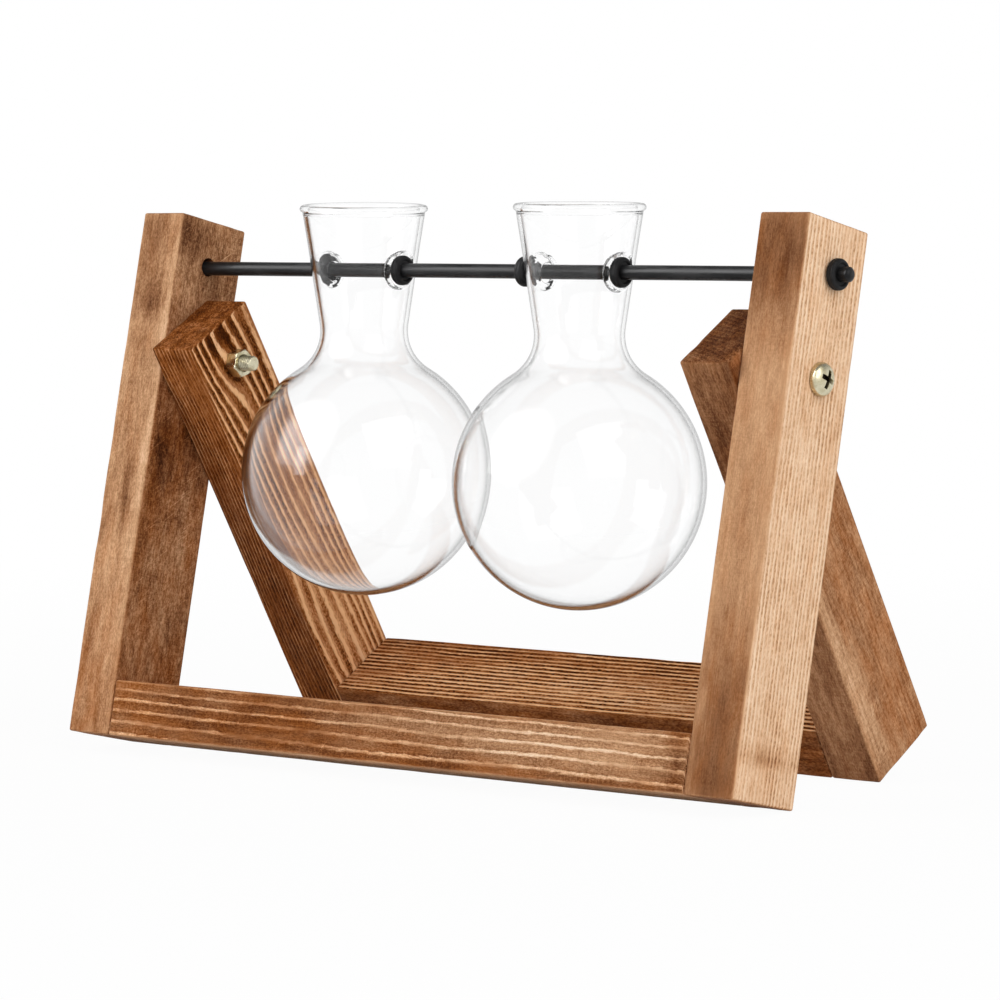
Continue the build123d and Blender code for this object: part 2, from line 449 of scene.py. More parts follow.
def wood_material():
    """Brown stain over open grain, drawn from the boards' own fields.

    It shows ridges, fibres, flecks, scratches and rubbed edges, and the painted shade and highlights of some
    spots and of the hole walls."""
    g = Graph("stained_wood")

    def noise_on(vector, name):
        along, across, detail, roughness = grain_noises[name]
        return g.noise(vector, (along, across, across), detail, roughness)

    def add(tone, noise_value, amount):
        return g.times(g.math("SUBTRACT", noise_value, 0.5), amount, tone)

    grain = g.attribute("grain", "Vector")
    flecked = g.attribute("fleck")
    phase = g.math("FRACT", add(g.attribute("ring"), noise_on(grain, "ragged"), ring_raggedness))
    ridge = g.levels(phase, ridge_stops)
    stripe = g.levels(phase, stripe_stops)
    ridge = g.times(g.math("SUBTRACT", stripe, ridge), g.attribute("wide"), ridge)
    fibre = noise_on(grain, "fibre")
    pores = noise_on(grain, "pores")
    cloud = noise_on(grain, "cloud")
    blotch = g.span(noise_on(grain, "blotch"), *fleck_limits)
    fleck = g.span(noise_on(grain, "fleck"), *fleck_limits)
    sawn = noise_on(grain, "sawn")
    askew = g.add("ShaderNodeVectorRotate", {"Vector": grain, "Angle": scratch_turn}, rotation_type="Y_AXIS")
    scratch = g.span(noise_on(askew.outputs["Vector"], "scratch"), *scratch_limits)
    lines = g.times(g.attribute("lines"), g.span(noise_on(grain, "patchy"), *patchy_lines))
    lines = g.times(lines, g.span(fleck, *flecked_lines))
    saw = g.times(g.attribute("saw"), g.span(cloud, *cloudy_saw))
    tone = g.times(lines, g.times(ridge, 2.0, -1.0), g.attribute("stain_and_shade"))
    tone = add(tone, fibre, fibre_tone)
    tone = add(tone, pores, pores_tone)
    tone = add(tone, cloud, g.times(flecked, cloud_tone, plain_cloud_tone))
    tone = add(tone, blotch, g.times(flecked, blotch_tone))
    tone = add(tone, fleck, g.times(flecked, fleck_tone))
    tone = add(tone, sawn, saw)
    tone = g.times(scratch, g.times(saw, scratch_tone), tone)
    rubbed = g.times(g.attribute("worn"), g.span(fleck, *flecked_wear))
    tone = g.times(rubbed, wear_tone, tone)
    redness = g.span(add(g.attribute("red"), noise_on(grain, "hue"), hue_spread), 0.0, 1.0)
    colour = g.mix(redness, g.ramp(tone, pale_stops), g.ramp(tone, red_stops))
    proud = g.times(g.attribute("ridge"), -1.0)
    height = g.times(ridge, proud, g.times(fibre, fibre_height))
    height = g.times(pores, pores_height, height)
    height = g.times(fleck, fleck_height, height)
    height = g.times(g.times(sawn, saw), sawn_height, height)
    g.bump(height, *wood_bump)
    g.surface(Base_Color=colour, Roughness=g.span(fibre, *wood_roughness), Specular_IOR_Level=wood_shine)
    return g.material


def grid_lines(half, step, skip=()):
    """Places of grid lines across a board, closer at its rounded edges and about its holes."""
    rounds = [half - edge_round * s for s in edge_round_shares]
    inner = np.linspace(-half + edge_round, half - edge_round, round(2 * (half - edge_round) / step) + 1)
    for middle in skip:
        inner = inner[abs(inner - middle) > hole_window + step / 2]
        reach = round(hole_window / hole_line_step)
        inner = np.append(inner, middle + hole_line_step * np.arange(-reach, reach + 1))
    return np.unique(np.round(np.concatenate([inner, rounds, [-r for r in rounds]]), 7))


def rectangle(rows, columns):
    """Pairs of a row and a column, once round a part of a grid."""
    pairs = [(rows[0], c) for c in columns[:-1]] + [(r, columns[-1]) for r in rows[:-1]]
    return pairs + [(rows[-1], c) for c in columns[:0:-1]] + [(r, columns[0]) for r in rows[:0:-1]]


def box_skin(lines, windows):
    """Points and faces of a box's gridded skin, less the windows on both faces across its second axis.

    Also gives each window's outline on each of those faces, as point numbers."""
    counts = [len(line) for line in lines]
    stride = (counts[1] * counts[2], counts[2], 1)
    quads = []
    for axis in range(3):
        first, second = (axis + 1) % 3, (axis + 2) % 3
        i, j = np.meshgrid(np.arange(counts[first] - 1), np.arange(counts[second] - 1), indexing="ij")
        keep = np.ones(i.shape, bool)
        if axis == 1:
            for low, high in windows:
                keep &= ~((i >= low[1]) & (i < high[1]) & (j >= low[0]) & (j < high[0]))
        for end in (0, counts[axis] - 1):
            corner = end * stride[axis] + i * stride[first] + j * stride[second]
            across, along = stride[first], stride[second]
            ring = [corner, corner + across, corner + across + along, corner + along]
            quads.append(np.stack([r[keep] for r in ring], -1))
    quads = np.concatenate(quads)
    used, quads = np.unique(quads, return_inverse=True)
    points = np.stack([lines[k][(used // stride[k]) % counts[k]] for k in range(3)], -1)
    outlines = []
    for low, high in windows:
        square = rectangle(range(low[1], high[1] + 1), range(low[0], high[0] + 1))
        for end in (0, counts[1] - 1):
            codes = [column * stride[0] + end * stride[1] + row for row, column in square]
            outlines.append(np.searchsorted(used, codes))
    return points, quads.reshape(-1, 4).tolist(), outlines


def band(first, second):
    """Faces between two closed loops of point numbers."""
    count = len(first)
    return [(first[m], first[(m + 1) % count], second[(m + 1) % count], second[m]) for m in range(count)]


def rings_to_circle(outline, centre, radius, count):
    """Loops of flat points that change from an outline into a circle about a centre inside it."""
    spokes = outline - centre
    circle = centre + radius * spokes / np.linalg.norm(spokes, axis=1)[:, None]
    return [outline + (circle - outline) * (k + 1) / count for k in range(count)]


def board_points(half, holes):
    """Points, outward directions and faces of a board in its own axes, with holes along its second axis."""
    lines = [grid_lines(half[0], grain_step, [along for along, radius in holes]),
             grid_lines(half[1], board_step), grid_lines(half[2], board_step)]

    def corner(along, reach):
        return int(abs(lines[0] - along - reach).argmin()), int(abs(lines[2] - reach).argmin())

    windows = [(corner(along, -hole_window), corner(along, hole_window)) for along, radius in holes]
    sharp, faces, outlines = box_skin(lines, windows)
    inside = np.clip(sharp, edge_round - half, half - edge_round)
    away = sharp - inside
    away /= np.linalg.norm(away, axis=1)[:, None]
    points, ways = [inside + edge_round * away], [away]
    total = len(sharp)
    for number, (along, radius) in enumerate(holes):
        ends = []
        for side in (0, 1):
            loop = outlines[2 * number + side]
            way = np.array((0.0, 2.0 * side - 1.0, 0.0))
            rows = []
            for flat in rings_to_circle(sharp[loop][:, [0, 2]], (along, 0.0), radius + hole_rim, hole_rings):
                ring = np.stack([flat[:, 0], np.full(len(flat), way[1] * half[1]), flat[:, 1]], -1)
                rows.append((ring, np.tile(way, (len(ring), 1))))
            wall = ring.copy()
            wall[:, [0, 2]] = (along, 0.0) + (wall[:, [0, 2]] - (along, 0.0)) * radius / (radius + hole_rim)
            wall[:, 1] -= way[1] * hole_rim
            rows.append((wall, np.zeros(wall.shape)))
            for ring, outward in rows:
                points.append(ring)
                ways.append(outward)
                fresh = np.arange(total, total + len(ring))
                total += len(ring)
                faces += band(loop, fresh)
                loop = fresh
            ends.append(loop)
        faces += band(ends[0], ends[1])
    return np.concatenate(points), np.concatenate(ways), faces


def rough(points, name, seed):
    """One of the boards' smooth noises, from -1 to 1."""
    along, across, shift = board_noises[name]
    places = points / np.array((along, across, across)) + (seed + shift)
    return np.array([noise.noise(p) for p in places.tolist()])


def hill(points, half, other, along, across, length, width):
    """1 at a place along and across a board, less away from it."""
    far = ((points[:, 0] / half[0] - along) / length) ** 2
    return np.exp(-far - ((points[:, other] / half[other] - across) / width) ** 2)


def ring_field(look, points, half, seed):
    """How many growth rings lie between a board's middle and each of its points."""
    gap, turn, pith, wave, drift = look["rings"]
    cosine, sine = math.cos(math.radians(turn)), math.sin(math.radians(turn))
    cross = points[:, 1:]
    out = cross @ np.array((cosine, sine)) + pith
    aside = cross @ np.array((-sine, cosine))
    ring = (np.hypot(out, aside) - pith) / gap
    ring += wave * rough(points, "wave", seed)
    ring += ripple_rings * rough(points, "ripple", seed)
    ring += drift * points[:, 0] / gap
    for *place, amount in look.get("bends", ()):
        ring += amount * hill(points, half, 2, *place)
    return ring


def board_fields(look, points, ways, half, seed):
    """What the shader needs at each point of a board, and how far each point sinks into it."""
    ring = ring_field(look, points, half, seed)
    faces = look["faces"]
    share = {}
    for name, (axis, sign) in look["sides"].items():
        share[name] = np.clip(sign * ways[:, axis], 0.0, 1.0) ** 2
    total = sum(share.values())
    wall = total < 0.5

    def by_face(key):
        field = sum(share[n] * faces.get(n, faces["other"])[key] for n in share)
        return np.where(wall, faces["other"][key], field / np.maximum(total, 0.5))

    fields = {key: by_face(key) for key in face_keys}
    fields["ring"] = ring
    # painted shade inside the holes
    fields["stain_and_shade"] = fields["stain_and_shade"] + np.where(wall, hole_wall_shade, 0.0)
    mottle = rough(points, "mottle", seed)
    patch = rough(points, "patch", seed)
    fields["stain_and_shade"] = fields["stain_and_shade"] + look["mottle"] * (mottle_share * mottle + patch_share * patch)
    ragged = np.clip(1.0 + spot_patch * patch + spot_mottle * mottle, 0.0, 2.0)
    for name, spots in look["spots"].items():
        other = 3 - look["sides"][name][0]
        for *place, amount, redden in spots:
            near = share[name] * hill(points, half, other, *place) * ragged
            fields["stain_and_shade"] = fields["stain_and_shade"] + amount * near
            fields["red"] = fields["red"] + redden * near
    depth = half - abs(points)
    depth[:, 0] += look.get("end_joint", 0.0)
    from_edge = np.sort(depth, axis=1)[:, 1]
    worn = np.exp(-from_edge / wear_reach) * (wear_level + wear_patch * patch)
    fields["worn"] = np.where(wall, 0.0, np.clip(worn, 0.0, 1.0))
    fields["red"] = np.clip(fields["red"], 0.0, 1.0)
    fields["ridge"] = np.clip(abs(fields["lines"]) * ridge_per_line, *ridge_limits)
    swell = 0.5 - 0.5 * np.cos(2 * math.pi * (ring - relief_phase))
    from_end = np.clip((half[0] - abs(points[:, 0])) / relief_fade, 0.0, 1.0)
    sink = fields["relief"] * (1.0 - swell * from_end)
    sink = sink + np.where(wall, 0.0, unevenness * (0.5 + 0.5 * mottle))
    chip = np.exp(-from_edge / chip_reach) * np.clip(patch - chip_start, 0.0, 1.0)
    sink = sink + np.where(wall, 0.0, chip_depth * chip)
    return fields, sink


def board(name, body, axes, look, holes, number):
    """One leg or bar, with its grain standing in relief."""
    local = points_of(name) @ axes.T
    low, high = local.min(0), local.max(0)
    centre, half = (low + high) / 2, (high - low) / 2
    holes = [(height - centre[0], radius) for height, radius in holes]
    seed = board_seed * (number + 1)
    points, ways, faces = board_points(half, holes)
    fields, sink = board_fields(look, points, ways, half, seed)
    moved = points - ways * sink[:, None]
    made = piece(name + "_wood", name, body, (moved + centre) @ axes, faces, wood)
    for key in ("stain_and_shade", "lines", "red", "fleck", "saw", "wide", "worn", "ridge", "ring"):
        write_field(made, key, fields[key])
    write_field(made, "grain", points * grain_scale + seed, "FLOAT_VECTOR", "vector")


face_keys = ("stain_and_shade", "lines", "red", "relief", "fleck", "saw", "wide")


def face(stain_and_shade, lines=0.1, red=0.3, relief=0.0, fleck=0.4, saw=0.1, wide=0.5):
    """How one face of a board looks.

    Stain goes from 0 to 1, then grain lines, redness, relief in metres, flecks and saw marks.
    Wide lines are stripes, narrow ones are thin ridges."""
    return dict(zip(face_keys, (stain_and_shade, lines, red, relief, fleck, saw, wide)))


# Each face of a board: the axis across it, and which way along that axis it looks
leg_sides = {"top": (0, 1), "foot": (0, -1), "front": (2, -1), "back": (2, 1)}
left_sides = {**leg_sides, "inner": (1, 1), "outer": (1, -1)}
right_sides = {**leg_sides, "inner": (1, -1), "outer": (1, 1)}
bar_sides = {"left": (0, -1), "right": (0, 1), "front": (1, -1), "back": (1, 1), "under": (2, -1),
             "top": (2, 1)}

# Each board: its growth rings, faces, bends of the rings, and spots of darker or lighter stain; a few spots
# are painted shadow and highlight, marked where they stand.
# Rings have a gap, a turn in degrees, the distance of the pith, waves and a drift along the board.
# A spot on a long face has a place along and across it, a length, a width, a change of stain (painted shade
# at the marked spots) and redness.
board_looks = {}
board_looks["tall_leg_left"] = {
    "sides": left_sides, "rings": (0.0014, 82.0, 0.05, 0.5, 0.012), "mottle": 0.12,
    "faces": {"front": face(0.42, 0.03, 0.2, 0.0, 0.34, 0.14),
              "inner": face(0.61, 0.03, 0.5, 0.0, 0.46, 0.34), "outer": face(0.42, -0.12, 0.3),
              "top": face(0.62, 0.2, 0.4), "foot": face(0.6, 0.2, 0.4), "other": face(0.5, 0.12, 0.4)},
    "spots": {
        "front": [(0.66, 0.1, 0.08, 0.7, 0.26, -0.4), (0.5, -0.3, 0.04, 0.5, 0.12, 0.0),
                  (-0.08, 0.2, 0.16, 0.28, 0.32, 0.0), (-0.3, 0.5, 0.2, 0.3, -0.1, 0.0),
                  (0.92, 0.0, 0.2, 1.5, 0.16, 0.0), (-0.9, 0.0, 0.4, 2.0, 0.13, 0.3),
                  # painted highlight: the next spot lightens a band along the rounded right edge, where it
                  # turns to the light
                  (0.2, 0.8, 1.2, 0.25, -0.08, -0.1)],
        "inner": [(0.93, -0.65, 0.09, 0.4, 0.32, -0.3), (0.85, 0.0, 0.25, 2.0, -0.03, -0.5),
                  (-0.3, 0.2, 0.3, 0.6, -0.05, -0.2), (0.1, -0.5, 0.12, 0.4, 0.22, 0.0),
                  (0.25, 0.3, 0.1, 0.3, 0.18, 0.2)],
    },
}
board_looks["tall_leg_right"] = {
    "sides": right_sides, "rings": (0.00165, 86.0, 0.07, 0.5, 0.004), "mottle": 0.04,
    "faces": {"front": face(0.41, 0.03, 0.2, 0.0, 0.18, 0.1),
              "outer": face(0.18, 0.2, 0.1, 0.00006, 0.28, 0.05, 0.75), "inner": face(0.55, -0.15, 0.5),
              "top": face(0.55, 0.2, 0.3), "foot": face(0.6, 0.2, 0.4), "other": face(0.5, 0.12, 0.4)},
    "spots": {
        "front": [(0.86, 0.0, 0.26, 1.8, 0.33, 0.1), (-0.86, 0.2, 0.42, 2.2, 0.3, 0.1)],
        "outer": [(-0.84, -0.2, 0.03, 2.0, 0.2, 0.1), (-0.9, 0.4, 0.05, 0.6, 0.06, 0.0)],
    },
}
board_looks["short_leg_left"] = {
    "sides": left_sides, "rings": (0.00145, 25.0, 0.16, 0.9, 0.004), "mottle": 0.09,
    "faces": {"front": face(0.62, 0.36, 0.9, 0.00008, 0.34, 0.05, 0.3),
              "inner": face(0.46, 0.86, 0.95, 0.00028, 0.32, 0.1, 0.4),
              "top": face(0.73, 0.04, 0.9, 0.0, 0.8, 0.2), "other": face(0.6, 0.2, 0.4)},
    "bends": [(0.98, -0.6, 0.28, 0.9, 1.8)],
    "spots": {
        "front": [(-0.75, 0.0, 0.5, 2.0, 0.1, 0.0), (0.95, 0.0, 0.05, 2.0, 0.1, 0.0)],
        "inner": [(0.95, -0.3, 0.06, 0.9, 0.3, 0.0), (-0.5, 0.2, 0.75, 1.6, -0.26, 0.3)],
    },
}
board_looks["short_leg_right"] = {
    "sides": right_sides, "rings": (0.0017, 70.0, 0.06, 0.35, 0.01), "mottle": 0.12,
    "faces": {"front": face(0.69, 0.05, 0.1, 0.0, 0.3, 0.2),
              "outer": face(0.5, -0.06, 0.45, 0.0, 0.3, 0.3), "inner": face(0.58, 0.3, 0.5, 0.0001),
              "top": face(0.8, 0.08, 0.3, 0.0, 0.5, 0.1), "other": face(0.6, 0.2, 0.5)},
    "spots": {
        "outer": [(-0.3, -0.8, 0.5, 0.2, -0.12, -0.5), (-0.75, -0.6, 0.3, 0.22, -0.1, -0.4),
                  # painted shadow: the last spot darkens the top of the outer face, where the tall right leg
                  # shades it
                  (-0.75, 0.5, 0.3, 0.5, 0.04, 0.2), (0.9, 0.0, 0.3, 2.0, 0.3, 0.0)],
        "front": [(-0.6, 0.0, 0.5, 2.0, -0.12, -0.1), (-0.3, 0.75, 0.5, 0.25, -0.04, -0.4),
                  (-0.85, 0.85, 0.15, 0.2, 0.1, -0.3)],
    },
}
board_looks["front_crossbar"] = {
    "sides": bar_sides, "rings": (0.0013, 19.0, 0.12, 0.2, 0.003), "mottle": 0.1, "end_joint": 1.0,
    "faces": {"front": face(0.6, 0.36, 0.5, 0.00018, 0.24, 0.34, 0.2),
              "top": face(0.5, -0.2, 0.4, 0.00006), "under": face(0.4, -0.2, 0.2),
              "back": face(0.62, 0.4, 0.5, 0.0002), "other": face(0.6, 0.2, 0.4)},
    "spots": {
        "front": [(-0.92, 0.0, 0.1, 2.0, -0.1, 0.2), (0.62, 0.1, 0.45, 0.9, -0.22, -0.6),
                  (0.0, 0.4, 0.3, 0.3, -0.06, -0.3), (0.35, -0.9, 0.8, 0.3, 0.06, 0.2),
                  (-0.35, -0.1, 0.2, 0.7, 0.06, 0.2), (0.97, 0.0, 0.03, 2.0, 0.16, 0.2),
                  (-0.6, 0.0, 0.3, 2.0, 0.06, 0.1)],
    },
}
board_looks["rear_crossbar"] = {
    "sides": bar_sides, "rings": (0.0016, 30.0, 0.12, 0.3, 0.002), "mottle": 0.06, "end_joint": 1.0,
    "faces": {"top": face(0.4, 0.68, 0.9, 0.00014, 0.34, 0.08, 0.8),
              "front": face(0.68, 0.05, 0.6, 0.0001), "back": face(0.6, 0.35, 0.4, 0.0002),
              "under": face(0.55, -0.3, 0.4), "other": face(0.6, 0.2, 0.4)},
    "spots": {
        "top": [(0.0, 0.9, 3.0, 0.5, 0.14, 0.1), (0.1, -0.5, 0.7, 0.45, -0.13, -0.1)],
    },
}


def make_boards():
    """All legs and bars."""
    pivot, rod = joint_place("frame_fold"), joint_place("rod_spin")
    along_x = np.array((1.0, 0.0, 0.0))
    for number, (name, look) in enumerate(board_looks.items()):
        in_front = name.startswith(("tall", "front"))
        is_bar = name.endswith("crossbar")
        slope = lean_of("tall_leg_left" if in_front else "short_leg_left")
        depth = np.array((0.0, math.cos(slope), math.sin(slope)))
        up = np.array((0.0, -math.sin(slope), math.cos(slope)))
        axes = np.stack([along_x, depth, up] if is_bar else [up, along_x, depth])
        holes = [] if is_bar else [(float(up @ pivot), bolt_hole_radius)]
        if name.startswith("tall"):
            holes.insert(0, (float(up @ rod) + rod_hole_rise, rod_hole_radius))
        board(name, "front_frame" if in_front else "rear_frame", axes, look, holes, number)


# Glass

def glass_material():
    """Clear blown glass, grey where its wall is seen edge on. It casts no shadow."""
    g = Graph("clear_glass")
    g.bump(g.noise(g.place(), *wobble_noise), *wobble_bump)
    facing = g.add("ShaderNodeLayerWeight").outputs["Facing"]
    g.surface(Base_Color=g.levels(facing, edge_stops), Roughness=0.0, IOR=glass_bend,
              Transmission_Weight=1.0, Specular_Tint=glass_shine)
    inside = g.add("ShaderNodeVolumeAbsorption", {"Color": glass_tint, "Density": glass_density})
    g.put(g.output.inputs["Volume"], inside.outputs["Volume"])
    path = g.add("ShaderNodeLightPath").outputs
    passing = g.math("MAXIMUM", path["Is Shadow Ray"], path["Is Diffuse Ray"])
    clear = g.add("ShaderNodeBsdfTransparent").outputs[0]
    g.put(g.output.inputs["Surface"], g.cover(passing, g.shader.outputs[0], clear))
    return g.material


def vase_rows(inset, bulb, below, top):
    """Radius and height above the rod along one skin of a vase, from its base to its rim."""
    shoulder = shoulder_radius + inset
    shoulder_r = throat_radius + shoulder_radius
    rise = math.sqrt((bulb + shoulder_radius) ** 2 - shoulder_r ** 2)
    lean = math.atan2(shoulder_r, rise)
    rows = []
    for t in np.linspace(math.pi, lean, bulb_rows):
        rows.append(((bulb - inset) * math.sin(t), (bulb - inset) * math.cos(t) - below))
    for t in np.linspace(lean - math.pi / 2, neck_taper, shoulder_rows)[1:]:
        rows.append((shoulder_r - shoulder * math.cos(t), rise - below + shoulder * math.sin(t)))
    throat_r, throat_z = rows[-1]
    heights = [np.linspace(throat_z, -window_height, neck_rows)[1:],
               np.linspace(-window_height, window_height, window_rows + 1)[1:],
               np.linspace(window_height, top, neck_rows)[1:]]
    for z in np.concatenate(heights):
        rows.append((throat_r + (z - throat_z) * math.tan(neck_taper), z))
    return np.array(rows)


def neck_radius(rows, height):
    """Radius of a skin's neck at a height above the rod."""
    return rows[-1][0] + (height - rows[-1][1]) * math.tan(neck_taper)


def dimpled(rows, seat, spread, y, z):
    """How far out a skin lies at a place on the side of the neck, with the dimple pressed in."""
    out = np.sqrt(neck_radius(rows, z) ** 2 - y ** 2)
    flat, edge = dimple_flat + spread / 2, dimple_edge + spread / 2
    share = np.clip((edge - np.hypot(y, z)) / (edge - flat), 0.0, 1.0)
    return out + np.minimum(0.0, seat - out) * share * share * (3 - 2 * share)


def vase(name, body, swing, rim_tilt):
    """A bulb vase with a beaded rim, and a fire-polished hole in a dimple on each side of its neck.

    Its hand-cut rim is a few degrees off level."""
    low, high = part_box(name)
    place = joint_place(swing)
    bulb = (high.x - low.x) / 2
    below = place.z - low.z - bulb
    bead_z = high.z - place.z - rim_bead
    crease = math.acos(glass_wall / 2 / rim_bead)
    top = bead_z - rim_bead * math.sin(crease)
    outer = vase_rows(0.0, bulb, below, top)
    inner = vase_rows(glass_wall, bulb, below, top)
    bead_r = (neck_radius(outer, bead_z) + neck_radius(inner, bead_z)) / 2
    turns = np.linspace(-crease, math.pi + crease, bead_rows + 2)[1:-1]
    bead = np.stack([bead_r + rim_bead * np.cos(turns), bead_z + rim_bead * np.sin(turns)], -1)
    rows = np.concatenate([outer, bead, inner[::-1]])
    around = np.arange(glass_columns) * 2 * math.pi / glass_columns
    grid = np.stack([np.outer(rows[:, 0], np.cos(around)), np.outer(rows[:, 0], np.sin(around)),
                     np.repeat(rows[:, 1:], glass_columns, axis=1)], -1)
    points = [grid.reshape(-1, 3)]
    total = len(points[0])
    number = np.arange(total).reshape(-1, glass_columns)
    first = len(outer) - neck_rows - window_rows
    last = len(rows) - 1
    spans = [(first, first + window_rows), (last - first - window_rows, last - first)]
    in_window = (np.arange(glass_columns) + window_columns) % (glass_columns // 2) < 2 * window_columns
    faces = []
    for row in range(last):
        tall = any(a <= row < b for a, b in spans)
        strip = band(number[row], number[row + 1])
        faces += [quad for quad, is_open in zip(strip, in_window) if not (tall and is_open)]
    seat = neck_radius(outer, 0.0) - dimple_seat_in
    outer_span, inner_span = [list(range(a, b + 1)) for a, b in spans]
    skins = [(outer, outer_span, seat, 0.0, 1.0),
             (inner, inner_span[::-1], seat - dimple_floor, glass_wall, -1.0)]
    centre = np.array((0.0, -hole_drop))
    for side, middle_column in ((1.0, 0), (-1.0, glass_columns // 2)):
        columns = [(middle_column + k) % glass_columns for k in range(-window_columns, window_columns + 1)]
        ends = []
        for skin, span, floor_x, spread, lip_way in skins:
            loop = np.array([number[pair] for pair in rectangle(span, columns)])
            outline = points[0][loop][:, 1:]
            patches = []
            for flat in rings_to_circle(outline, centre, hole_radius + hole_lip, dimple_rings):
                patches.append((dimpled(skin, floor_x, spread, flat[:, 0], flat[:, 1]), flat))
            spokes = (flat - centre) / (hole_radius + hole_lip)
            for turn in lip_turns:
                reach = hole_radius + hole_lip * (1 - math.sin(turn))
                out = np.full(len(flat), floor_x - lip_way * hole_lip * (1 - math.cos(turn)))
                patches.append((out, centre + spokes * reach))
            for out, flat in patches:
                points.append(np.stack([side * out, flat[:, 0], flat[:, 1]], -1))
                fresh = np.arange(total, total + len(out))
                total += len(out)
                faces += band(loop, fresh)
                loop = fresh
            ends.append(loop)
        faces += band(ends[0], ends[1])
    corners = np.concatenate(points)
    share = np.clip((corners[:, 2] - window_height) / (bead_z - window_height), 0.0, 1.0)
    drop = corners[:, :2] @ np.array(rim_low_way) + bead_r + rim_bead
    corners[:, 2] -= share * math.sin(rim_tilt) * drop
    corners = corners + np.array(place)
    used, faces = np.unique(np.array(faces), return_inverse=True)
    quads = faces.reshape(-1, 4).tolist()
    piece(name + "_glass", name, body, corners[used], quads, glass, weld=pole_merge)


# Rod, rings, bolts, nuts and dowels

def zinc_material():
    """Plated steel with a faint haze, fine scuffs, and painted shade in the recess and thread grooves, where
    the mesh says so.
    """
    g = Graph("zinc_steel")
    bright, dull, rust, hollow_shade_colour = zinc_colours
    place = g.place()
    haze = g.noise(place, *zinc_haze_noise)
    scuff = g.noise(place, *zinc_scuff_noise)
    shade = g.mix(g.span(haze, *zinc_haze_limits), bright, dull)
    shade = g.mix(g.span(scuff, *zinc_scuff_fade), shade, rust)
    # painted shade: the recess and thread grooves are darkened by the mesh's field
    shade = g.mix(g.attribute("hollow_shade"), shade, hollow_shade_colour)
    g.bump(scuff, *zinc_bump)
    g.surface(Base_Color=shade, Metallic=1.0, Roughness=g.span(haze, *zinc_roughness))
    return g.material


def black_material(name, colours, roughness, grain):
    """A black coat or rubber: fine grain, and faint paler rubbing."""
    g = Graph(name)
    place = g.place()
    fine = g.noise(place, (grain, grain, grain), *black_grain_detail)
    broad = g.noise(place, *black_rub_noise)
    g.bump(fine, *black_bump)
    shade = g.mix(g.span(broad, *black_rub_limits), *colours)
    g.surface(Base_Color=shade, Roughness=g.span(broad, *roughness), Specular_IOR_Level=black_shine)
    return g.material


def dowel_material():
    """Pale turned hardwood for the hidden dowels."""
    g = Graph("dowel_wood")
    fibre = g.noise(g.place(), *dowel_noise)
    g.bump(fibre, *dowel_bump)
    g.surface(Base_Color=g.ramp(fibre, dowel_stops), Roughness=dowel_roughness)
    return g.material


def lathe(profile, columns=lathe_columns, radius_at=None):
    """Points, faces and loops of a shape turned about X, from places and radii along it, open at its ends."""
    around = np.arange(columns) * 2 * math.pi / columns
    points, faces, loops = [], [], []
    for x, radius in profile:
        radii = np.full(columns, radius) if radius_at is None else radius_at(x, radius, around)
        loops.append(np.arange(len(points), len(points) + columns))
        points += np.stack([np.full(columns, x), radii * np.cos(around), radii * np.sin(around)], -1).tolist()
    for first, second in zip(loops, loops[1:]):
        faces += band(first, second)
    return np.array(points), faces, loops


def capped(profile, **more):
    """A turned shape whose two ends are closed by flat discs."""
    points, faces, loops = lathe(profile, **more)
    for loop in (loops[0], loops[-1]):
        centre = points[loop].mean(0)
        faces += [(loop[m], loop[(m + 1) % len(loop)], len(points)) for m in range(len(loop))]
        points = np.append(points, [centre], axis=0)
    return points, faces


def turned(points, angle):
    """Points turned about X."""
    made = points.copy()
    cosine, sine = math.cos(angle), math.sin(angle)
    made[:, 1:] = points[:, 1:] @ np.array(((cosine, sine), (-sine, cosine)))
    return made


def make_rod():
    """The rod, with its slightly domed and chamfered tips."""
    low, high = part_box("hanging_rod")
    middle, radius, half = (low + high) / 2, (high.z - low.z) / 2, (high.x - low.x) / 2
    tip = [(half - drop, radius * share) for drop, share in rod_tip]
    straight = half - rod_straight_end
    body = [(x, radius) for x in np.linspace(straight, -straight, rod_rows)]
    points, faces = capped(tip + body + [(-x, r) for x, r in reversed(tip)])
    points = points + np.array(middle)
    piece("hanging_rod_bar", "hanging_rod", "rod", points, faces, black_steel, rod_crease)


def make_ring(node):
    """A rubber ring with rounded outer corners and a faint moulding seam, tight on the rod."""
    low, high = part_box(node)
    middle, half, radius = (low + high) / 2, (high.x - low.x) / 2, (high.z - low.z) / 2
    rod_low, rod_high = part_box("hanging_rod")
    bore = (rod_high.z - rod_low.z) / 2
    round_x, round_r = half - ring_round, radius - ring_round
    profile = [(half - ring_dish, bore), (half - ring_dish, round_r - 2 * ring_lip)]
    profile += [(half - ring_dish / 3, round_r - ring_lip)]
    for t in np.linspace(0.0, ring_round_end, ring_round_steps):
        profile.append((round_x + ring_round * math.cos(t), round_r + ring_round * math.sin(t)))
    profile += [(ring_seam, radius), (0.0, radius - ring_seam)]
    profile += [(-x, r) for x, r in reversed(profile[:-1])]
    points, faces, loops = lathe(profile)
    faces += band(loops[-1], loops[0])
    points = points + np.array(middle)
    piece(node + "_rubber", node, "rod", points, faces, rubber, ring_crease)


def tapered_bar(length, width, depth, draft):
    """A bar on the YZ plane that narrows as it goes down -X."""
    points = []
    for x, share in ((depth, 1.0 + (1.0 - draft)), (-depth, draft)):
        for y, z in ((-1, -1), (1, -1), (1, 1), (-1, 1)):
            points.append((x, y * width / 2 * share, z * length / 2 * share))
    faces = [(0, 1, 2, 3), (4, 7, 6, 5), (0, 4, 5, 1), (1, 5, 6, 2), (2, 6, 7, 3), (3, 7, 4, 0)]
    return np.array(points), faces


